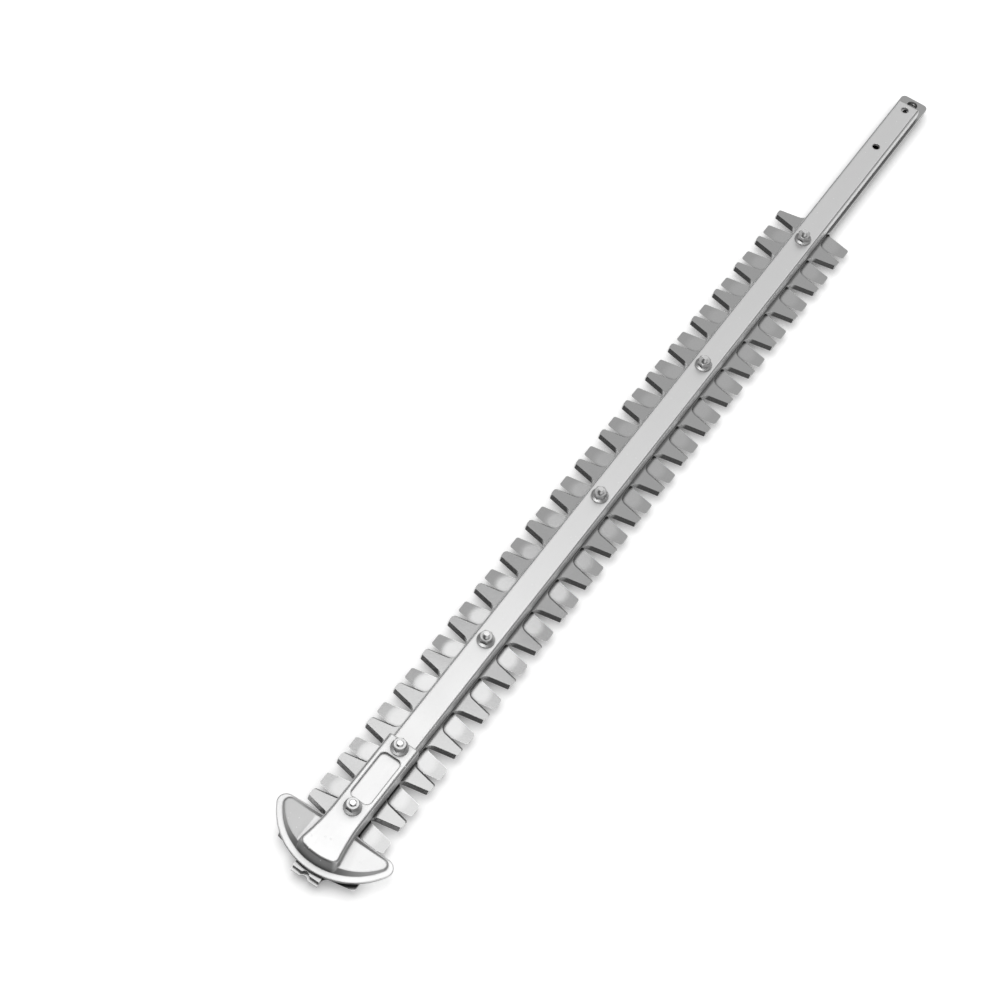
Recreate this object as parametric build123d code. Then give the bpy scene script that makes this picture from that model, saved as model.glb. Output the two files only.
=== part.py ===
# Double sided hedge trimmer blade, 600 mm cut, as the spare assembly that bolts to the gear case.
# Frame: millimetres, +X along the bar from the gear case to the tip, +Z up away from the blades.
# The origin is midway between the two gear case holes, on the top face of the guide bar.
from math import cos, pi, radians, sqrt, tan
import os

from build123d import *

# Teeth: two equal stampings, the lower one turned over about the long axis
pitch = 30.0
long_row_teeth = 21
blade_thickness = 2.5
tooth_reach = 29.4
gullet_half_width = 9.7
tooth_tip_width = 8.8
tooth_root_width = 16.3
bevel_width = 2.05
gullet_radius = 4.5
gullet_radius_at_face = 6.5
tip_corner = 0.8
first_tooth_x = 115.2
end_notch_radius = 3.2
end_notch_depth = 1.6
end_notch_corner = 1.2

# Travel of each blade about the middle of its stroke, and where each stands at rest
half_stroke = 6.5
rest_offset = 1.0
slot_end_clearance = 1.0
slot_side_clearance = 0.15

# Gear case holes in the web of the bar, and the slots that pass their screws through the blades
case_hole_spacing = 45.0
case_hole_diameter = 5.5
case_slot_width = 6.0

# Shank that runs back into the gear case, with the eye for the connecting rod
shank_half_width = 10.8
shank_run_out = 8.0
drive_eye_diameter = 8.0
drive_eye_web = 1.5
drive_eye_wall = 1.8
shank_corner_radius = 3.6

# Guide bar: a channel folded from sheet, open side down
bar_end_margin = 6.3
bar_past_last_station = 12.0
bar_half_width = 9.0
bar_sheet = 2.0
bar_height = 8.9
bar_bend_radius = 1.9

# Bolt stations counted back from the tip, the last two through the tip guard as well
last_station_setback = 48.2
station_steps = [138.6, 133.1, 134.6, 94.5, 49.0]
guard_stations = 2

# Fasteners
bolt_diameter = 5.0
bolt_top_z = 9.0
bolt_head_across_flats = 8.0
bolt_head_height = 3.5
bolt_end_chamfer = 0.6
bolt_hole_diameter = 5.5
thread_clearance = 0.03
sleeve_diameter = 8.0
sleeve_bore = 5.3
washer_diameter = 19.0
washer_bore = 5.3
washer_thickness = 1.5
nut_across_flats = 8.0
nut_height = 5.9
nut_flange_diameter = 11.6
nut_flange_edge = 1.0
nut_flange_angle = 28.0

# Running clearances of the stack
running_gap = 0.1

# Tip guard: one pressing with a channel over the bar, two raised fins and a flat crescent rim
guard_sheet = 2.0
guard_side_clearance = 0.15
guard_before_station = 5.0
guard_bend_radius = 2.0
guard_foot_gap = 0.2
flare_after_station = 3.0
flare_half_width_low = 16.0
flare_half_width_top = 14.4
flare_corner_radius = 4.5
rim_radius = 48.0
rim_width = 4.0
rim_lift = 0.6
rim_setback = 3.4
front_wall_lean = 3.3
fin_rise = 3.0
fin_rise_at_horn = 0.4
fin_wall_angle = 45.0
fin_corner_radius = 4.5
fin_edge_from_centre = 13.2
fin_edge_slant = 2.5
fin_edge_border = 1.0
horn_radius = 6.0
window_width = 14.6
window_corner_radius = 3.5
window_after_station = 7.1
window_before_station = 5.9

# Levels worked out from the sizes above, downwards from the top face of the bar
web_underside_z = -bar_sheet
bar_foot_z = -bar_height
upper_blade_top_z = bar_foot_z - running_gap
upper_blade_bottom_z = upper_blade_top_z - blade_thickness
lower_blade_top_z = upper_blade_bottom_z - running_gap
lower_blade_bottom_z = lower_blade_top_z - blade_thickness
washer_top_z = lower_blade_bottom_z - running_gap
washer_bottom_z = washer_top_z - washer_thickness
bolt_head_bottom_z = washer_bottom_z - bolt_head_height

# Places along the bar worked out from the sizes above
case_hole_xs = [-case_hole_spacing / 2, case_hole_spacing / 2]
case_slot_length = case_slot_width + 2 * half_stroke
drive_eye_x = case_hole_xs[0] - case_slot_length / 2 - drive_eye_web - drive_eye_diameter / 2
shank_end_x = drive_eye_x - drive_eye_diameter / 2 - drive_eye_wall
blade_end_x = first_tooth_x + (long_row_teeth - 0.5) * pitch
last_station_x = blade_end_x - last_station_setback
station_xs = [last_station_x - sum(station_steps[i:]) for i in range(len(station_steps) + 1)]
bar_start_x = case_hole_xs[0] - bar_end_margin
bar_end_x = last_station_x + bar_past_last_station
guard_start_x = station_xs[-guard_stations] - guard_before_station
flare_start_x = last_station_x + flare_after_station
rim_centre_x = blade_end_x - rim_setback - rim_radius
fin_edge_x = rim_centre_x + fin_edge_from_centre
guard_outer_half_width = bar_half_width + guard_side_clearance + guard_sheet
guard_inner_half_width = bar_half_width + guard_side_clearance
rim_bottom_z = upper_blade_top_z + rim_lift
rim_top_z = rim_bottom_z + guard_sheet


def plate(face, bottom_z, top_z):
    return extrude(Pos(0, 0, bottom_z) * face, amount=top_z - bottom_z)


def drilled(solid, xs, diameter):
    holes = [Pos(x, 0, 0) * Cylinder(diameter / 2, 100) for x in xs]
    return solid - holes


def ring(outer, bore, bottom_z, height):
    face = Circle(outer / 2) - Circle(bore / 2)
    return plate(face, bottom_z, bottom_z + height)


def hexagon(across_flats):
    return RegularPolygon(across_flats / 2, 6, major_radius=False)


def gap_face(widening, corner_radius):
    """Outline of the space between two teeth: flat root, round corners, leaning flanks, eased tips."""
    half_root = (pitch - tooth_root_width) / 2 + widening
    half_mouth = (pitch - tooth_tip_width) / 2 + widening
    lean = (half_mouth - half_root) / (tooth_reach - gullet_half_width)
    shoulder_y = tooth_reach - tip_corner
    half_shoulder = half_root + lean * (shoulder_y - gullet_half_width)
    right = [
        (half_root, gullet_half_width),
        (half_shoulder, shoulder_y),
        (half_mouth + tip_corner, tooth_reach),
        (half_mouth + tip_corner, tooth_reach + pitch),
    ]
    left = [(-x, y) for x, y in reversed(right)]
    outline = make_face(Polyline(*right, *left, close=True))
    return fillet(outline.vertices().group_by(Axis.Y)[0], corner_radius)


def gap_cutter():
    """Space between two teeth, wider at the ground face than at the cutting edge."""
    edge = gap_face(0, gullet_radius)
    face = Pos(0, 0, blade_thickness) * gap_face(bevel_width, gullet_radius_at_face)
    return loft([edge.face(), face.face()], ruled=True)


def spine_half(side, first_gap_x):
    """One side of the blade's backbone: the shank's full width, running out into the first gullet."""
    return Polyline(
        (shank_end_x, 0),
        (shank_end_x, side * shank_half_width),
        (first_gap_x - shank_run_out, side * shank_half_width),
        (first_gap_x, side * gullet_half_width),
        (blade_end_x, side * gullet_half_width),
        (blade_end_x, 0),
    )


def blade():
    """One stamping with its cutting edges at z 0 and its ground bevels at the top."""
    short_row_start = first_tooth_x + pitch / 2
    rows = [(-1, first_tooth_x, long_row_teeth), (1, short_row_start, long_row_teeth - 1)]
    spine = make_face([spine_half(side, start - pitch / 2) for side, start, teeth in rows])
    comb = fillet(spine.vertices().group_by(Axis.X)[0].sort_by(Axis.Y)[::2], shank_corner_radius)
    for side, start, teeth in rows:
        centre = start + (teeth - 1) * pitch / 2
        comb += Pos(centre, side * tooth_reach / 2) * Rectangle(teeth * pitch, tooth_reach)
    slot_width = sleeve_diameter + 2 * slot_side_clearance
    slot_length = slot_width + 2 * (half_stroke + slot_end_clearance)
    for x in station_xs:
        comb -= Pos(x, 0) * SlotOverall(slot_length, slot_width)
    for x in case_hole_xs:
        comb -= Pos(x, 0) * SlotOverall(case_slot_length, case_slot_width)
    comb -= Pos(drive_eye_x, 0) * Circle(drive_eye_diameter / 2)
    comb -= Pos(blade_end_x + end_notch_radius - end_notch_depth, 0) * Circle(end_notch_radius)
    notch_corners = comb.vertices().group_by(Axis.X)[-1].sort_by(lambda corner: abs(corner.Y))[:2]
    comb = fillet(notch_corners, end_notch_corner)
    stamping = plate(comb, 0, blade_thickness)
    cutter = gap_cutter()
    gaps = []
    for side, start, teeth in rows:
        turn = 0 if side > 0 else 180
        for i in range(teeth + 1):
            gaps.append(Pos(start + (i - 0.5) * pitch, 0, 0) * Rot(0, 0, turn) * cutter)
    return stamping - gaps


def upper_blade():
    return Pos(-rest_offset, 0, upper_blade_bottom_z) * blade()


def lower_blade():
    return Pos(rest_offset, 0, lower_blade_top_z) * Rot(180, 0, 0) * blade()


def guide_bar():
    """Folded channel: flat web on top, two flanges whose feet run just above the upper blade."""
    length = bar_end_x - bar_start_x
    middle = (bar_end_x + bar_start_x) / 2
    outside = Pos(middle, 0, -bar_height / 2) * Box(length, 2 * bar_half_width, bar_height)
    outside = fillet(outside.edges().filter_by(Axis.X).group_by(Axis.Z)[-1], bar_bend_radius)
    inner_half = bar_half_width - bar_sheet
    inside_height = bar_height - bar_sheet
    inside = Pos(middle, 0, bar_foot_z + inside_height / 2) * Box(length, 2 * inner_half, inside_height)
    bar = outside - inside
    bar = drilled(bar, case_hole_xs, case_hole_diameter)
    return drilled(bar, station_xs, bolt_hole_diameter)


def channel_face(straight_half, end_half, front_radius, corner_radius):
    """Plan of the guard's channel: straight over the bar, flaring, closed by an arc about the rim centre."""
    corner_x = rim_centre_x + sqrt(front_radius ** 2 - end_half ** 2)
    front_x = rim_centre_x + front_radius
    face = make_face([
        Line((guard_start_x, -straight_half), (guard_start_x, straight_half)),
        Line((guard_start_x, straight_half), (flare_start_x, straight_half)),
        TangentArc((flare_start_x, straight_half), (corner_x, end_half), tangent=(1, 0)),
        ThreePointArc((corner_x, end_half), (front_x, 0), (corner_x, -end_half)),
        TangentArc((flare_start_x, -straight_half), (corner_x, -end_half), tangent=(1, 0)),
        Line((flare_start_x, -straight_half), (guard_start_x, -straight_half)),
    ])
    return fillet(face.vertices().sort_by(Axis.X)[-2:], corner_radius)


def crescent_face(radius, border):
    """Disc cut off by the two slanting rear edges of the fins."""
    rear_x = fin_edge_x + border
    tip_x = rear_x + fin_edge_slant
    far = 2 * rim_radius
    keep = make_face(Polyline(
        (rear_x, 0), (tip_x, rim_radius), (tip_x, far), (tip_x + far, far),
        (tip_x + far, -far), (tip_x, -far), (tip_x, -rim_radius), close=True,
    ))
    return (Pos(rim_centre_x, 0) * Circle(radius)) & keep


def rounded_horns(face, radius):
    corners = face.vertices().sort_by(Axis.Y)
    return fillet([corners[0], corners[-1]], radius)


def raised_fins(outline, base_z):
    """Both fins on one base: walls leaning in, and tops that fall from the channel to the horns."""
    rise = extrude(Pos(0, 0, base_z) * outline, amount=fin_rise, taper=fin_wall_angle)
    slope_end = rim_radius - rim_width
    roof = make_face(Polyline(
        (-slope_end, base_z + fin_rise_at_horn), (-flare_half_width_low, base_z + fin_rise),
        (flare_half_width_low, base_z + fin_rise), (slope_end, base_z + fin_rise_at_horn),
        (slope_end, base_z - fin_rise), (-slope_end, base_z - fin_rise), close=True,
    ))
    return rise & extrude(Plane.YZ * roof, amount=rim_centre_x + 2 * rim_radius)


def tip_guard():
    """Pressed guard over the end of the bar, with the bar's sheet and the blades free under it."""
    wall_angle = radians(fin_wall_angle)
    sheet_inset = guard_sheet * (1 / cos(wall_angle) - tan(wall_angle))
    rim = plate(rounded_horns(crescent_face(rim_radius, 0), horn_radius), rim_bottom_z, rim_top_z)
    fin = rounded_horns(crescent_face(rim_radius - rim_width, fin_edge_border), fin_corner_radius)
    fins = raised_fins(fin, rim_top_z)
    hollow = raised_fins(offset(fin, -sheet_inset), rim_bottom_z)

    low_radius = rim_radius - rim_width
    top_radius = low_radius - front_wall_lean
    outer_low = Pos(0, 0, rim_top_z) * channel_face(
        guard_outer_half_width, flare_half_width_low, low_radius, flare_corner_radius
    )
    outer_top = Pos(0, 0, guard_sheet) * channel_face(
        guard_outer_half_width, flare_half_width_top, top_radius, flare_corner_radius
    )
    shell = loft([outer_low.face(), outer_top.face()], ruled=True)
    shell = fillet(shell.edges().group_by(Axis.Z)[-1].sort_by(Axis.X)[1:], guard_bend_radius)

    wall_slope = front_wall_lean / (guard_sheet - rim_top_z)
    side_slope = (flare_half_width_low - flare_half_width_top) / (guard_sheet - rim_top_z)
    front_inset = guard_sheet * sqrt(1 + wall_slope ** 2)
    side_inset = guard_sheet * sqrt(1 + side_slope ** 2)
    inner_low = channel_face(
        guard_inner_half_width,
        flare_half_width_low + side_slope * guard_sheet - side_inset,
        low_radius + wall_slope * guard_sheet - front_inset,
        flare_corner_radius - guard_sheet,
    )
    inner_top = channel_face(
        guard_inner_half_width,
        flare_half_width_top + side_slope * guard_sheet - side_inset,
        top_radius + wall_slope * guard_sheet - front_inset,
        flare_corner_radius - guard_sheet,
    )
    tunnel = loft([(Pos(0, 0, rim_bottom_z) * inner_low).face(), inner_top.face()], ruled=True)

    flange_foot_z = upper_blade_top_z + guard_foot_gap
    flange_length = fin_edge_x + fin_edge_border - guard_start_x
    flange_middle = guard_start_x + flange_length / 2
    flange_height = rim_top_z - flange_foot_z
    flange_z = flange_foot_z + flange_height / 2
    skirts = Pos(flange_middle, 0, flange_z) * Box(flange_length, 2 * guard_outer_half_width, flange_height)
    bar_way = Pos(flange_middle, 0, flange_z) * Box(flange_length, 2 * guard_inner_half_width, flange_height)

    guard = rim + fins + shell + skirts - hollow - tunnel - bar_way
    window_start_x = station_xs[-guard_stations] + window_after_station
    window_length = last_station_x - window_before_station - window_start_x
    window = RectangleRounded(window_length, window_width, window_corner_radius)
    guard -= Pos(window_start_x + window_length / 2, 0, 0) * plate(window, -guard_sheet, 2 * guard_sheet)
    return drilled(guard, station_xs[-guard_stations:], bolt_hole_diameter)


def station_seat_z(index):
    """Height of the face that the nut is tightened on."""
    on_guard = index >= len(station_xs) - guard_stations
    return guard_sheet if on_guard else 0


def bolt(x):
    """Hexagon bolt put in from below, with its end standing out of the nut."""
    head = plate(hexagon(bolt_head_across_flats), bolt_head_bottom_z, washer_bottom_z)
    shank = plate(Circle(bolt_diameter / 2), washer_bottom_z, bolt_top_z)
    shank = chamfer(shank.edges().group_by(Axis.Z)[-1], bolt_end_chamfer)
    return Pos(x, 0, 0) * (head + shank)


def washer(x):
    """Wide washer that carries the lower blade over its slot."""
    return Pos(x, 0, 0) * ring(washer_diameter, washer_bore, washer_bottom_z, washer_thickness)


def sleeve(x):
    """Spacer that carries the clamping force past the blades and guides their slots."""
    length = web_underside_z - washer_top_z
    return Pos(x, 0, 0) * ring(sleeve_diameter, sleeve_bore, washer_top_z, length)


def flange_nut(x, seat_z):
    """Hexagon nut on a conical flange of its own."""
    corner_radius = nut_across_flats / 2 / cos(pi / 6)
    flange_radius = nut_flange_diameter / 2
    flange_rise = (flange_radius - corner_radius) * tan(radians(nut_flange_angle))
    flange = plate(Circle(flange_radius), seat_z, seat_z + nut_flange_edge + flange_rise)
    slope_start = flange.edges().group_by(Axis.Z)[-1]
    flange = chamfer(slope_start, flange_rise, flange_radius - corner_radius)
    bore = Pos(0, 0, seat_z) * Cylinder(bolt_diameter / 2 + thread_clearance, 4 * nut_height)
    block = plate(hexagon(nut_across_flats), seat_z, seat_z + nut_height)
    return Pos(x, 0, 0) * (block + flange - bore)


def write_parts():
    os.makedirs("parts", exist_ok=True)
    parts = {
        "guide_bar": guide_bar(),
        "upper_blade": upper_blade(),
        "lower_blade": lower_blade(),
        "tip_guard": tip_guard(),
    }
    for index, x in enumerate(station_xs):
        number = index + 1
        seat_z = station_seat_z(index)
        parts[f"bolt_{number}"] = bolt(x)
        parts[f"washer_{number}"] = washer(x)
        parts[f"sleeve_{number}"] = sleeve(x)
        parts[f"flange_nut_{number}"] = flange_nut(x, seat_z)
    for name, shape in parts.items():
        export_step(shape, f"parts/{name}.step")


write_parts()
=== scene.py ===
"""Looks for a double sided hedge trimmer blade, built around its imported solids.

Lengths are in metres. +X points to the tip and +Z up.
"""
from math import cos, pi, radians, tan

import bpy
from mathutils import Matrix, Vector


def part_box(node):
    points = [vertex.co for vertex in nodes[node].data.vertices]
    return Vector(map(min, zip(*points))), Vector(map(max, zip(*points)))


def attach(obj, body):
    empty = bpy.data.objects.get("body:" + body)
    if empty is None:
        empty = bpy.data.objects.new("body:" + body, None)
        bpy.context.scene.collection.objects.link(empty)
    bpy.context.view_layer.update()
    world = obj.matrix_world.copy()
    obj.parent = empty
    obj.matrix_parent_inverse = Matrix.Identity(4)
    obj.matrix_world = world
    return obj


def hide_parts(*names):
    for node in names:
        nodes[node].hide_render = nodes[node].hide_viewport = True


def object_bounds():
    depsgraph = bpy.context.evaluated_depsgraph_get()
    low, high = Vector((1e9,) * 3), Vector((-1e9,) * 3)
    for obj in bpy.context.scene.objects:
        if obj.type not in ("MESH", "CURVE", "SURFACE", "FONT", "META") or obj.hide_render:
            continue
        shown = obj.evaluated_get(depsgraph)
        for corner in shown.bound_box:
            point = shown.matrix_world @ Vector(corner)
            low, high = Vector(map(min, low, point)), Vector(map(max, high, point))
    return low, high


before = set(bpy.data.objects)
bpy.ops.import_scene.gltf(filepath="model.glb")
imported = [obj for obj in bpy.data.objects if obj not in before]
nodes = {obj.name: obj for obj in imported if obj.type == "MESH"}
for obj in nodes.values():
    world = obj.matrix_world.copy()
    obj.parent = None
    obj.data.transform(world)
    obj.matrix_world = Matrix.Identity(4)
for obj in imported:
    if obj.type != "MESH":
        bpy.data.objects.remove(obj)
solid_low, solid_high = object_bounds()

# Guide bar
# A channel folded from 2 mm steel strip, open side down, that carries the whole blade.
# It is satin plated after folding. Dust specks lie on it, and painted shade darkens a line along its feet.


def grey(level):
    """A neutral colour, as all the steel here has."""
    return (level, level, level, 1)


white = grey(1)
contact_shade_colour = grey(0.20)
foot_shade_height = 0.0002
fine_relief = 0.00006
edge_samples = 6
edge_highlight_turn = (0.04, 0.20)
edge_highlight_width = 0.0004
edge_highlight_share = 0.8
corner_depth = (0.05, 0.40)
corner_cover = 0.5
corner_shade = 0.3
rolling_line_length = 0.03
rolling_lines_per_metre = 2200
rolling_line_rise = 0.5
rolling_line_dulling = 0.08
clouds_per_metre = 38.0
cloud_share = 0.7
cloud_shade = 0.88
cloud_dulling = 0.10
peel_per_metre = 1500.0
peel_rise = 0.5
scuff_stretch = (400, 90, 400)
scuff_limit = 0.69
scuff_depth = 0.2
scuff_dulling = 0.05
dust_spacing = 0.005
dust_size = 0.0004
dust_dulling = 0.3
flat_limit = 0.001
fold_start = 0.04
wall_start = 0.9
bend_shade = 0.65
bend_dulling = 0.10
front_wall_lean = (0.45, 0.85)
front_wall_shade_level = 0.2


class Wire:
    """One output in a tree of nodes. Sums on it in Python add Math nodes to that tree."""

    def __init__(self, tree, socket=None):
        self.tree = tree
        self.socket = socket

    def node(self, kind, inputs, output=0, **settings):
        """A new node with its settings and then its inputs, each a value, a wire or a list of wires."""
        made = self.tree.nodes.new(kind)
        for name, value in settings.items():
            setattr(made, name, value)
        for name, value in inputs.items():
            several = value if isinstance(value, list) else [value]
            for one in several:
                if isinstance(one, Wire):
                    self.tree.links.new(one.socket, made.inputs[name])
                else:
                    made.inputs[name].default_value = one
        return Wire(self.tree, made.outputs[output])

    def maths(self, operation, first, second=0.0):
        return self.node("ShaderNodeMath", {0: first, 1: second}, operation=operation)

    def __add__(self, other):
        return self.maths("ADD", self, other)

    def __sub__(self, other):
        return self.maths("SUBTRACT", self, other)

    def __rsub__(self, other):
        return self.maths("SUBTRACT", other, self)

    def __mul__(self, other):
        return self.maths("MULTIPLY", self, other)

    def __truediv__(self, other):
        return self.maths("DIVIDE", self, other)

    def __gt__(self, other):
        return self.maths("GREATER_THAN", self, other)

    def __lt__(self, other):
        return self.maths("LESS_THAN", self, other)

    def __abs__(self):
        return self.maths("ABSOLUTE", self)

    __radd__ = __add__
    __rmul__ = __mul__

    def vectors(self, operation, inputs, output=0):
        return self.node("ShaderNodeVectorMath", inputs, output=output, operation=operation)

    def part(self, axis):
        return self.node("ShaderNodeSeparateXYZ", {"Vector": self}, output=axis)

    def stretched(self, x, y, z):
        return self.node("ShaderNodeMapping", {"Vector": self, "Scale": (x, y, z)})

    def noise(self, scale, detail=3.0, output=0):
        inputs = {"Vector": self, "Scale": scale, "Detail": detail}
        return self.node("ShaderNodeTexNoise", inputs, output=output)

    def specks(self, spacing, size):
        """1 inside small round specks, about one in each cube of the spacing, and 0 between them."""
        near = self.node("ShaderNodeTexVoronoi", {"Vector": self, "Scale": 1 / spacing})
        return near < size / spacing

    def rising(self, start, end):
        """0 below the start and 1 above the end."""
        return self.node("ShaderNodeMapRange", {"Value": self, "From Min": start, "From Max": end})

    def mixed(self, first, second):
        """A colour that goes from the first to the second as this wire goes from 0 to 1."""
        # A Mix node's colours go by number, because its numbers and vectors have the same names.
        first_colour, second_colour, mixed_colour = 6, 7, 2
        inputs = {"Factor": self, first_colour: first, second_colour: second}
        return self.node("ShaderNodeMix", inputs, output=mixed_colour, data_type="RGBA")


def darker(colour, share):
    return tuple(channel * share for channel in colour[:3]) + (1,)


def new_metal(name):
    """An empty metal finish, with its shader and a wire that gives places on the piece."""
    metal = bpy.data.materials.new(name)
    metal.use_nodes = True
    tree = metal.node_tree
    shader = tree.nodes["Principled BSDF"]
    shader.inputs["Metallic"].default_value = 1.0
    place = Wire(tree).node("ShaderNodeTexCoord", {}, output="Object")
    return metal, shader, place


def face_direction(place):
    """The way that a face looks: its Z is 1 on top of the blade, and its X is 1 towards the tip."""
    return place.node("ShaderNodeNewGeometry", {}, output="Normal")


def soft_edges(place, radius):
    """The normal with edges and bends rounded over the radius, as polishing and plating leave them."""
    return place.node("ShaderNodeBevel", {"Radius": radius}, samples=edge_samples)


def edge_highlight_mask(place, radius):
    """1 where two faces meet within the radius, from the turn of the rounded normal. It masks a painted
    highlight along the edges.
    """
    rounded = soft_edges(place, radius)
    unturned = place.vectors("DOT_PRODUCT", {0: rounded, 1: face_direction(place)}, output="Value")
    return (1 - unturned).rising(*edge_highlight_turn)


def corner_painted_shade(place, reach):
    """1 deep in a corner, where a wall stands within the reach, and 0 in the open: the mask of a painted
    corner shade.
    """
    inputs = {"Distance": reach}
    open_share = place.node("ShaderNodeAmbientOcclusion", inputs, output="AO", samples=edge_samples)
    return (1 - open_share).rising(*corner_depth)


def feed(shader, **wires):
    names = {"colour": "Base Color", "roughness": "Roughness", "normal": "Normal"}
    for name, wire in wires.items():
        wire.tree.links.new(wire.socket, shader.inputs[names[name]])


def plated_sheet(
    name, colour, roughness, line_depth, foot_z, edge_radius, corner_shade_reach, fold_highlight_share=0.0, front_wall_shade_share=0.0
):
    """Satin plated sheet: rolling lines, a cloudy gloss, dust specks and a painted shade line above its
    foot.

    Painted shade darkens its corners and its bends, which are also duller. A painted highlight lies along
    the start of the bends by a share, and painted shade darkens a wall at the front by another share.
    """
    metal, shader, place = new_metal(name)
    line_stretch = (1 / rolling_line_length, rolling_lines_per_metre, rolling_lines_per_metre)
    lines = place.stretched(*line_stretch).noise(1.0)
    clouds = place.noise(clouds_per_metre)
    peel = place.noise(peel_per_metre, detail=2.0)
    scuffs = place.stretched(*scuff_stretch).noise(2.0, detail=5.0) > scuff_limit
    dust = place.specks(dust_spacing, dust_size)
    edge = edge_highlight_mask(place, edge_highlight_width)
    # Painted shade: a dark line just above the foot, where the sheet meets the blade.
    foot_shade = 1 - place.part("Z").rising(foot_z + foot_shade_height, foot_z + 2 * foot_shade_height)
    cloudy = clouds * cloud_share + lines * (1 - cloud_share)
    plating = cloudy.mixed(darker(colour, cloud_shade), colour)
    facing = face_direction(place)
    folded = 1 - abs(facing.part("Z"))
    # Painted shade darkens the bends.
    shaded_bend = (folded > fold_start) * (folded < wall_start)
    plating = shaded_bend.mixed(plating, darker(colour, bend_shade))
    # A painted highlight along the start of each bend, by the given share.
    fold_highlight = (folded > flat_limit) * (folded < fold_start) * fold_highlight_share
    # Painted shade darkens walls that face the tip, by the given share.
    front_wall_shade = facing.part("X").rising(*front_wall_lean) * front_wall_shade_share
    plating = front_wall_shade.mixed(plating, darker(colour, front_wall_shade_level))
    # Painted shade in the corners.
    plating = (corner_painted_shade(place, corner_shade_reach) * corner_cover).mixed(plating, darker(colour, corner_shade))
    # Dust specks are lighter, and the edges and the start of the bends carry a painted highlight.
    dust_and_highlights = (dust + edge * edge_highlight_share + fold_highlight).rising(0, 1).mixed(plating, white)
    normal = place.node("ShaderNodeBump", {
        "Height": lines * rolling_line_rise + peel * peel_rise - scuffs * scuff_depth,
        "Strength": line_depth,
        "Distance": fine_relief,
        "Normal": soft_edges(place, edge_radius),
    })
    # Clouds and lines stand at a half on average, so that much of their dulling is taken off.
    uneven = clouds * cloud_dulling + lines * rolling_line_dulling
    marked = scuffs * scuff_dulling + dust * dust_dulling + folded * bend_dulling
    evened_roughness = roughness - (cloud_dulling + rolling_line_dulling) / 2
    feed(
        shader,
        colour=foot_shade.mixed(dust_and_highlights, contact_shade_colour),
        roughness=uneven + marked + evened_roughness,
        normal=normal,
    )
    return metal


def finish(node, metal):
    """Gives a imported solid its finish."""
    piece = nodes[node]
    for holder in piece.material_slots:
        holder.material = metal


bar_low, bar_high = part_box("guide_bar")
bar_metal = plated_sheet(
    "bar_steel",
    colour=grey(0.86),
    roughness=0.40,
    line_depth=0.35,
    foot_z=bar_low[2],
    edge_radius=0.0012,
    corner_shade_reach=0.001,
    fold_highlight_share=0.8,
)
finish("guide_bar", bar_metal)

# Blades
# Two equal stampings of hardened spring steel, one turned over, that slide past each other.
# Their faces are shot blasted and a little out of flat from hardening. Their flanks are ground to
# a cutting edge, darkened by painted shade where they don't face the tip, and the lower blade has a
# slightly tipped patch at each tooth root, lightened by a painted highlight.
blade_colour = grey(0.42)
blade_shade = 0.9
blade_roughness = 0.21
blade_clouds_per_metre = 30.0
blade_cloud_share = 0.6
grains_per_metre = 1400.0
grain_strength = 0.4
warps_per_metre = 26.0
out_of_flat = 0.05
level_face = 0.9
ground_colour = grey(0.50)
ground_roughness = 0.24
ground_level_low = 0.35
ground_level_high = 0.93
wheel_mark_stretch = (300, 40, 5200)
flank_shade_colour = grey(0.12)
flank_shade_cover = 0.85
shaded_flank_limit = 0.3
blade_edge_highlight = grey(0.9)
blade_edge_highlight_share = 0.7
blade_edge_highlight_width = 0.0003
bar_end_gap = 0.002
contact_shade_width = 0.0005
root_shade_eased = 0.6
root_shade_reach = 0.0025
root_shade_level = 0.12
tooth_pitch = 0.030
first_lower_tooth_x = 0.1162
root_highlight_colour = grey(0.45)
root_patch_middle_y = 0.0135
root_patch_radius = 0.0105
root_patch_fade = (0.35, 1)
root_patch_tip = (0.045, 0, 0)
other_row_lean = 1.1


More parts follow.
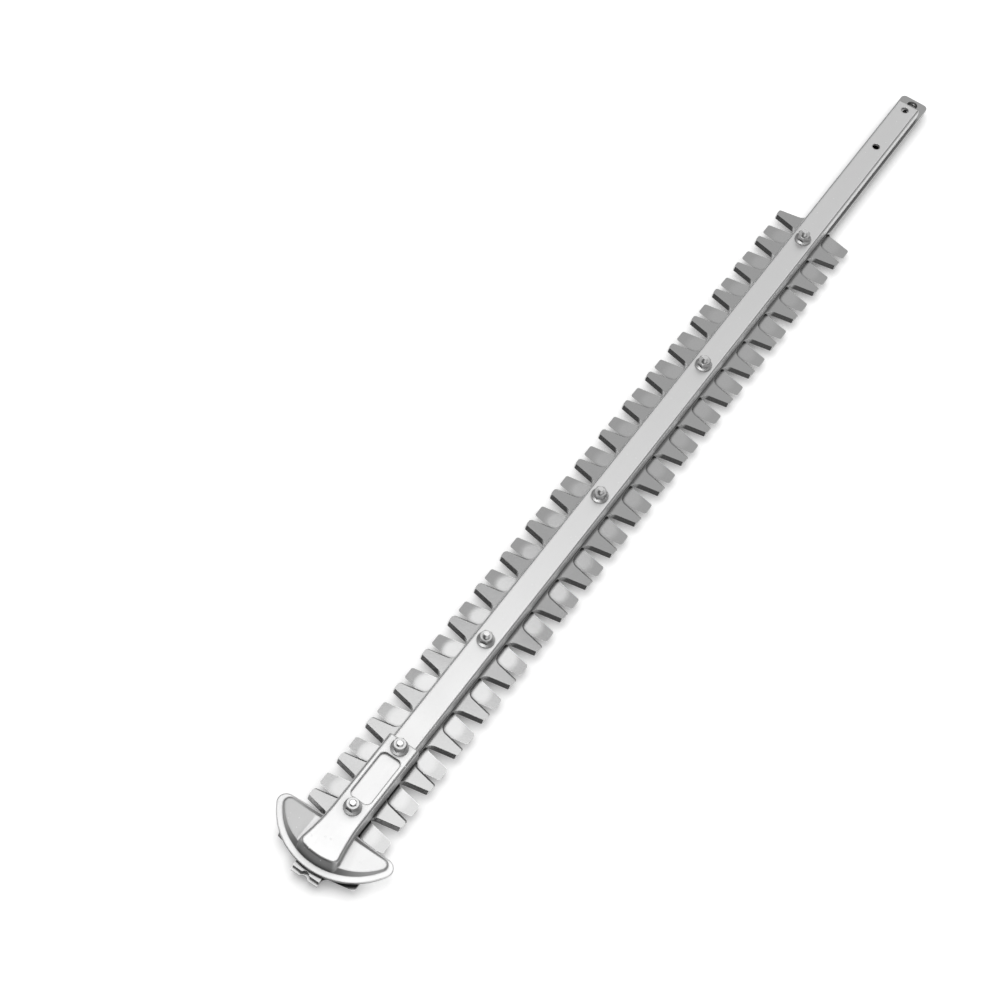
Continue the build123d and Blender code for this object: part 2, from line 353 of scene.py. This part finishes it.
def blasted_and_ground(name, first_patch_x=None):
    """Blasted faces with a fine grain, and ground flanks with the marks of the wheel across them.

    With the X of a first patch, each tooth has a patch at its root, very slightly tipped and lightened
    by a painted highlight. Between its patches the row at -Y leans the other way.
    """
    metal, shader, place = new_metal(name)
    facing = face_direction(place)
    level = abs(facing.part("Z"))
    flank = (level > ground_level_low) * (1 - (level > ground_level_high))
    grain = place.noise(grains_per_metre, detail=2.0)
    clouds = place.noise(blade_clouds_per_metre)
    wheel_marks = place.stretched(*wheel_mark_stretch).noise(1.0, detail=4.0)
    edge = edge_highlight_mask(place, blade_edge_highlight_width)
    side = abs(place.part("Y"))
    along = place.part("X")
    under_bar = (along > bar_low[0] + bar_end_gap) * (along < bar_high[0])
    # Painted shade: a dark line on the blade's top face beside the bar's feet, as far as the bar reaches.
    contact_shade_end = bar_high[1] + contact_shade_width
    bar_contact_shade = (1 - side.rising(bar_high[1], contact_shade_end)) * (under_bar * (facing.part("Z") > level_face))
    cloudy = clouds * blade_cloud_share + grain * (1 - blade_cloud_share)
    face_colour = cloudy.mixed(darker(blade_colour, blade_shade), blade_colour)
    normal = place.node("ShaderNodeBump", {
        "Height": grain * (1 - flank) + wheel_marks * flank,
        "Strength": grain_strength,
        "Distance": fine_relief,
    })
    warp = place.noise(warps_per_metre, detail=1.0, output="Color")
    warp = place.vectors("SUBTRACT", {0: warp, 1: (0.5, 0.5, 0.5)})
    warp = place.vectors("SCALE", {0: warp, "Scale": out_of_flat})
    normal = place.vectors("ADD", {0: normal, 1: warp})
    if first_patch_x is not None:
        other_row = place.part("Y") < 0
        turns = (along - first_patch_x) / tooth_pitch + other_row * 0.5 + 0.5
        across = (turns - turns.maths("FLOOR", turns) - 0.5) * tooth_pitch
        out = side - root_patch_middle_y
        near = across * across + out * out
        patch = 1 - (near / (root_patch_radius * root_patch_radius)).rising(*root_patch_fade)
        # A painted highlight lightens the patch at each tooth root.
        face_colour = patch.mixed(face_colour, root_highlight_colour)
        lean = patch - other_row * (1 - patch) * other_row_lean
        tip = place.vectors("SCALE", {0: root_patch_tip, "Scale": lean})
        normal = place.vectors("ADD", {0: normal, 1: tip})
    # Painted shade at the tooth roots and along the other blade's edges, weaker inside the contact line
    # beside the bar.
    past_contact_shade = side.rising(contact_shade_end, contact_shade_end + 2 * contact_shade_width)
    root_shade_left = past_contact_shade * root_shade_eased + (1 - root_shade_eased)
    root_shade = corner_painted_shade(place, root_shade_reach) * root_shade_left
    face_colour = root_shade.mixed(face_colour, darker(blade_colour, root_shade_level))
    face_colour = bar_contact_shade.mixed(face_colour, contact_shade_colour)
    # Painted shade darkens the ground flanks that don't face the tip.
    flank_shade = (facing.part("X") < shaded_flank_limit) * flank_shade_cover
    steel = flank.mixed(face_colour, flank_shade.mixed(ground_colour, flank_shade_colour))
    face_roughness = clouds * cloud_dulling + (blade_roughness - cloud_dulling / 2)
    # Every edge carries a painted highlight, which also stands for the honed cutting edges.
    feed(
        shader,
        colour=(edge * blade_edge_highlight_share).mixed(steel, blade_edge_highlight),
        roughness=(1 - flank) * face_roughness + flank * ground_roughness,
        normal=place.vectors("NORMALIZE", {0: normal}),
    )
    return metal


finish("upper_blade", blasted_and_ground("upper_blade_steel"))
finish("lower_blade", blasted_and_ground("lower_blade_steel", first_patch_x=first_lower_tooth_x))

# Tip guard
# One pressing over the end of the bar: a channel, two raised fins and a flat crescent rim.
# It is plated like the bar and keeps hedges and fingers off the blades' ends.
guard_metal = plated_sheet(
    "guard_steel",
    colour=grey(0.80),
    roughness=0.36,
    line_depth=0.25,
    foot_z=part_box("tip_guard")[0][2],
    edge_radius=0.0013,
    corner_shade_reach=0.008,
    front_wall_shade_share=0.95,
)
finish("tip_guard", guard_metal)

# Bolts
# Six hexagon bolts put in from below, with rolled threads that stand out of the nuts.
# The thread is a diamond section led along a helix round the thinner core of the bolt.
stations = sorted(int(node.split("_")[1]) for node in nodes if node.startswith("bolt_"))
corner_slope = 30
cone_top_share = 0.48
round_sides = 40
thread_steps = 18
ridge_sides = 4
smooth_below = 28
zinc_clouds_per_metre = 260.0
zinc_cloud_shade = 0.8
zinc_cloud_dulling = 0.14
zinc_grains_per_metre = 2600.0
zinc_grain_strength = 0.3
zinc_relief = 0.00003
zinc_edge_highlight_width = 0.0002


def zinc_steel(name, colour, roughness):
    """Zinc plating: a little uneven in gloss, with fine handling marks and a painted highlight on its
    edges.
    """
    metal, shader, place = new_metal(name)
    clouds = place.noise(zinc_clouds_per_metre)
    grain = place.noise(zinc_grains_per_metre, detail=2.0)
    edge = edge_highlight_mask(place, zinc_edge_highlight_width)
    plating = clouds.mixed(darker(colour, zinc_cloud_shade), colour)
    relief = {"Height": grain, "Strength": zinc_grain_strength, "Distance": zinc_relief}
    # The edges carry a painted highlight.
    feed(
        shader,
        colour=(edge * edge_highlight_share).mixed(plating, white),
        roughness=clouds * zinc_cloud_dulling + (roughness - zinc_cloud_dulling / 2),
        normal=place.node("ShaderNodeBump", relief),
    )
    return metal


def new_tree(name, sizes):
    """A tree of geometry nodes with a named input for each size, and wires to those inputs."""
    tree = bpy.data.node_groups.new(name, "GeometryNodeTree")
    tree.interface.new_socket("Seats", in_out="INPUT", socket_type="NodeSocketGeometry")
    for size in sizes:
        tree.interface.new_socket(size, in_out="INPUT", socket_type="NodeSocketFloat")
    tree.interface.new_socket("Metal", in_out="INPUT", socket_type="NodeSocketMaterial")
    tree.interface.new_socket("Pieces", in_out="OUTPUT", socket_type="NodeSocketGeometry")
    given = tree.nodes.new("NodeGroupInput")
    return tree, {socket.name: Wire(tree, socket) for socket in given.outputs if socket.name}


def moved(shape, z):
    lift = shape.node("ShaderNodeCombineXYZ", {"Z": z})
    return shape.node("GeometryNodeTransform", {"Geometry": shape, "Translation": lift})


def rod(radius, bottom, top, sides=round_sides):
    """A prism or cylinder standing between two heights, of which the bottom one may be a number."""
    length = top - bottom
    upright = {"Vertices": sides, "Radius": radius, "Depth": length}
    return moved(radius.node("GeometryNodeMeshCylinder", upright), bottom + length * 0.5)


def cone(bottom_radius, top_radius, height):
    """A blunt cone standing on zero."""
    return height.node("GeometryNodeMeshCone", {
        "Vertices": round_sides,
        "Radius Top": top_radius,
        "Radius Bottom": bottom_radius,
        "Depth": height,
    })


def joined_solid(first, others, operation):
    """A solid cut by, added to or shared with the others."""
    inputs = {0: first, 1: others} if operation == "DIFFERENCE" else {1: [first] + others}
    return first.node("GeometryNodeMeshBoolean", inputs, operation=operation, solver="EXACT")


def turned_hexagon(across_flats, height):
    """A hexagon standing on zero, with the corners at its top turned off to a cone."""
    block = rod(across_flats * (0.5 / cos(pi / 6)), 0, height, sides=6)
    widening = height * (1 / tan(radians(corner_slope)))
    cone_top = across_flats * cone_top_share
    return joined_solid(block, [cone(cone_top + widening, cone_top, height)], "INTERSECT")


def set_out(shape, given, turn_seed):
    """Stands a shape on each seat, each turned by chance, and ends in real mesh with its metal."""
    # The sockets for plain numbers go by number, because those for vectors have the same names.
    least, most, drawn_number = 2, 3, 1
    turn = shape.node(
        "FunctionNodeRandomValue",
        {least: 0.0, most: 2 * pi, "Seed": turn_seed},
        output=drawn_number,
        data_type="FLOAT",
    )
    spin = shape.node("ShaderNodeCombineXYZ", {"Z": turn})
    copies = shape.node("GeometryNodeInstanceOnPoints", {
        "Points": given["Seats"],
        "Instance": shape,
        "Rotation": spin,
    })
    real = shape.node("GeometryNodeRealizeInstances", {"Geometry": copies})
    painted = shape.node("GeometryNodeSetMaterial", {"Geometry": real, "Material": given["Metal"]})
    end = shape.tree.nodes.new("NodeGroupOutput")
    shape.tree.links.new(painted.socket, end.inputs["Pieces"])


def seats(kind):
    """The foot of each fastener of a kind, on the axis of the bolt at its station."""
    feet = []
    for station in stations:
        low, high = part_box(f"bolt_{station}")
        foot_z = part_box(f"{kind}_{station}")[0][2]
        feet.append(((low[0] + high[0]) / 2, (low[1] + high[1]) / 2, foot_z))
    return feet


def made_by(tree, name, sizes, metal, kind):
    """Runs the tree at every station, keeps the result as a plain mesh, hangs it on the guide bar's body
    and hides the imported fasteners.
    """
    carrier = bpy.data.meshes.new(name + "_seats")
    carrier.from_pydata(seats(kind), [], [])
    holder = bpy.data.objects.new(name, carrier)
    bpy.context.scene.collection.objects.link(holder)
    modifier = holder.modifiers.new("make", "NODES")
    modifier.node_group = tree
    for item in tree.interface.items_tree:
        if item.name in sizes:
            modifier[item.identifier] = sizes[item.name]
        if item.name == "Metal":
            modifier[item.identifier] = metal
    bpy.context.view_layer.update()
    ready = holder.evaluated_get(bpy.context.evaluated_depsgraph_get())
    mesh = bpy.data.meshes.new_from_object(ready)
    holder.modifiers.remove(modifier)
    holder.data = mesh
    mesh.shade_smooth()
    mesh.set_sharp_from_angle(angle=radians(smooth_below))
    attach(holder, "guide_bar_body")
    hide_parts(*[f"{kind}_{station}" for station in stations])


first_bolt_low, first_bolt_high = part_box(f"bolt_{stations[0]}")
bolt_sizes = {
    "Radius": 0.0025,
    "Length": first_bolt_high[2] - first_bolt_low[2],
    "Head Across Flats": 0.008,
    "Head Height": 0.0035,
    "Thread Pitch": 0.0008,
    "Thread Ridge": 0.0004,
    "Thread Length": 0.012,
}
bolt_tree, given = new_tree("threaded bolt", bolt_sizes)
head = turned_hexagon(given["Head Across Flats"], given["Head Height"])
head = head.node("GeometryNodeTransform", {"Geometry": head, "Rotation": (pi, 0, 0)})
head = moved(head, given["Head Height"])
thread_start = given["Length"] - given["Thread Length"]
plain_shank = rod(given["Radius"], given["Head Height"], thread_start)
core_radius = given["Radius"] - given["Thread Ridge"]
point_start = given["Length"] - given["Thread Ridge"]
core = rod(core_radius, thread_start, point_start)
point = moved(cone(core_radius, core_radius - given["Thread Ridge"], given["Thread Ridge"]), point_start)
helix_height = point_start - given["Thread Ridge"] - thread_start
helix = core.node("GeometryNodeCurveSpiral", {
    "Resolution": thread_steps,
    "Rotations": helix_height / given["Thread Pitch"],
    "Start Radius": core_radius,
    "End Radius": core_radius,
    "Height": helix_height,
})
helix = moved(helix, thread_start)
helix = core.node("GeometryNodeSetCurveNormal", {"Curve": helix}, mode="Z_UP")
ridge = core.node("GeometryNodeCurvePrimitiveCircle", {
    "Resolution": ridge_sides,
    "Radius": given["Thread Ridge"],
})
thread = core.node("GeometryNodeCurveToMesh", {"Curve": helix, "Profile Curve": ridge, "Fill Caps": True})
whole_bolt = head.node("GeometryNodeJoinGeometry", {"Geometry": [head, plain_shank, core, point, thread]})
set_out(whole_bolt, given, turn_seed=3)

bolt_metal = zinc_steel("bolt_steel", grey(0.80), roughness=0.26)
made_by(bolt_tree, "threaded_bolts", bolt_sizes, bolt_metal, "bolt")

# Nuts
# Flange nuts, tightened on the bar and on the guard, with their top corners turned to a cone.
# They are zinc plated, and a painted highlight brightens their edges.
nut_sizes = {
    "Across Flats": 0.008,
    "Height": 0.0059,
    "Bore Radius": 0.00253,
    "Flange Radius": 0.0058,
    "Flange Edge": 0.001,
    "Flange Slope": 0.0006,
}
nut_tree, given = new_tree("flange nut", nut_sizes)
hexagon = turned_hexagon(given["Across Flats"], given["Height"])
plinth = rod(given["Flange Radius"], 0, given["Flange Edge"])
skirt = cone(given["Flange Radius"], given["Across Flats"] * 0.5, given["Flange Slope"])
skirt = moved(skirt, given["Flange Edge"])
# The bore is cut by a rod that runs past both ends of the nut.
bore = rod(given["Bore Radius"], given["Height"] * -0.5, given["Height"] * 1.5)
solid_nut = joined_solid(hexagon, [plinth, skirt], "UNION")
set_out(joined_solid(solid_nut, [bore], "DIFFERENCE"), given, turn_seed=8)

nut_metal = zinc_steel("nut_steel", grey(0.56), roughness=0.28)
made_by(nut_tree, "chamfered_nuts", nut_sizes, nut_metal, "flange_nut")

# Washers and sleeves
# A wide washer under each bolt station carries the lower blade over its slot.
# A turned sleeve inside the slots takes the clamping force past both blades.
washer_metal = zinc_steel("washer_steel", grey(0.72), roughness=0.32)
sleeve_metal = zinc_steel("sleeve_steel", grey(0.45), roughness=0.35)
for station in stations:
    finish(f"washer_{station}", washer_metal)
    finish(f"sleeve_{station}", sleeve_metal)

# Floor
# A plain white board, on which the bolt heads rest. It keeps the blade's soft shadow,
# and its glow fades under the blade as the shadow does.
floor_size = 8.0
floor_middle_x = 0.35
floor_roughness = 0.9
floor_colour = grey(0.9)
glow = grey(0.60)
shadow_reach = 0.011
shadow_depth = 1.5


def white_floor():
    paint = bpy.data.materials.new("floor_white")
    paint.use_nodes = True
    tree = paint.node_tree
    shader = tree.nodes["Principled BSDF"]
    shader.inputs["Base Color"].default_value = floor_colour
    shader.inputs["Roughness"].default_value = floor_roughness
    shader.inputs["Specular IOR Level"].default_value = 0.0
    shader.inputs["Emission Strength"].default_value = 1.0
    camera_ray = Wire(tree).node("ShaderNodeLightPath", {}, output="Is Camera Ray")
    glossy_ray = Wire(tree).node("ShaderNodeLightPath", {}, output="Is Glossy Ray")
    seen = camera_ray.maths("MAXIMUM", camera_ray, glossy_ray)
    open_sky = Wire(tree).node("ShaderNodeAmbientOcclusion", {"Distance": shadow_reach}, output="AO")
    shine = (seen * open_sky.maths("POWER", open_sky, shadow_depth)).mixed(grey(0), glow)
    tree.links.new(shine.socket, shader.inputs["Emission Color"])
    return paint


bpy.ops.mesh.primitive_plane_add(size=floor_size, location=(floor_middle_x, 0, solid_low[2]))
floor = bpy.context.object
floor.name = "floor"
floor.data.materials.append(white_floor())

# Light
# A bright soft box over the tip and a long dim one over the rest, with grey walls around. The
# walls are pale low down on the +Y side and dim towards -X, and a black flag hangs past the tip.
ceiling_height = 1.27
pale_wall_top = (0.10, 0.30)
pale_wall_side = (-0.3, 0.3)
pale_grey = grey(0.70)
dim_grey = grey(0.31)
dim_wall_end = (-0.1, 0.4)
flag_direction = (0.91, -0.24, 0.34)
flag_spread = (0.72, 0.90)
flag_grey = grey(0.08)


def ceiling_box(name, low, high, radiance):
    """A soft box that faces down, from its two corners and the brightness that is seen in it."""
    lamp = bpy.data.lights.new(name, "AREA")
    lamp.shape = "RECTANGLE"
    lamp.size = high[0] - low[0]
    lamp.size_y = high[1] - low[1]
    lamp.energy = radiance * pi * lamp.size * lamp.size_y
    holder = bpy.data.objects.new(name, lamp)
    holder.location = ((low[0] + high[0]) / 2, (low[1] + high[1]) / 2, ceiling_height)
    bpy.context.scene.collection.objects.link(holder)


ceiling_box("over_the_tip", low=(-0.06, -0.50), high=(0.95, 0.10), radiance=1.75)
ceiling_box("over_the_bar", low=(-2.0, -0.65), high=(-0.06, 0.45), radiance=0.52)

world = bpy.data.worlds.new("studio")
bpy.context.scene.world = world
world.use_nodes = True
walls = world.node_tree
around = Wire(walls).node("ShaderNodeTexCoord", {}, output="Generated")
pale_wall = (1 - around.part("Z").rising(*pale_wall_top)) * around.part("Y").rising(*pale_wall_side)
dim_wall = around.part("X").rising(*dim_wall_end).mixed(dim_grey, pale_grey)
wall = pale_wall.mixed(dim_wall, pale_grey)
towards_flag = around.vectors("DOT_PRODUCT", {0: around, 1: flag_direction}, output="Value")
flagged = towards_flag.rising(*flag_spread).mixed(wall, flag_grey)
seen = Wire(walls).node("ShaderNodeLightPath", {}, output="Is Camera Ray")
backdrop = walls.nodes["Background"]
walls.links.new(seen.mixed(flagged, white).socket, backdrop.inputs["Color"])

# Camera
# It stands where the photograph was taken from, high up past the tip and to the +Y side,
# as fitted to the even rows of teeth.
camera = bpy.data.objects.new("camera", bpy.data.cameras.new("camera"))
camera.location = (1.16437, 0.30760, 1.27788)
camera.rotation_euler = (radians(31.829), radians(-4.6765), radians(124.038))
camera.data.lens = 82.49
camera.data.sensor_width = 36.0
bpy.context.scene.collection.objects.link(camera)
bpy.context.scene.camera = camera
bpy.context.scene.view_settings.view_transform = "Standard"
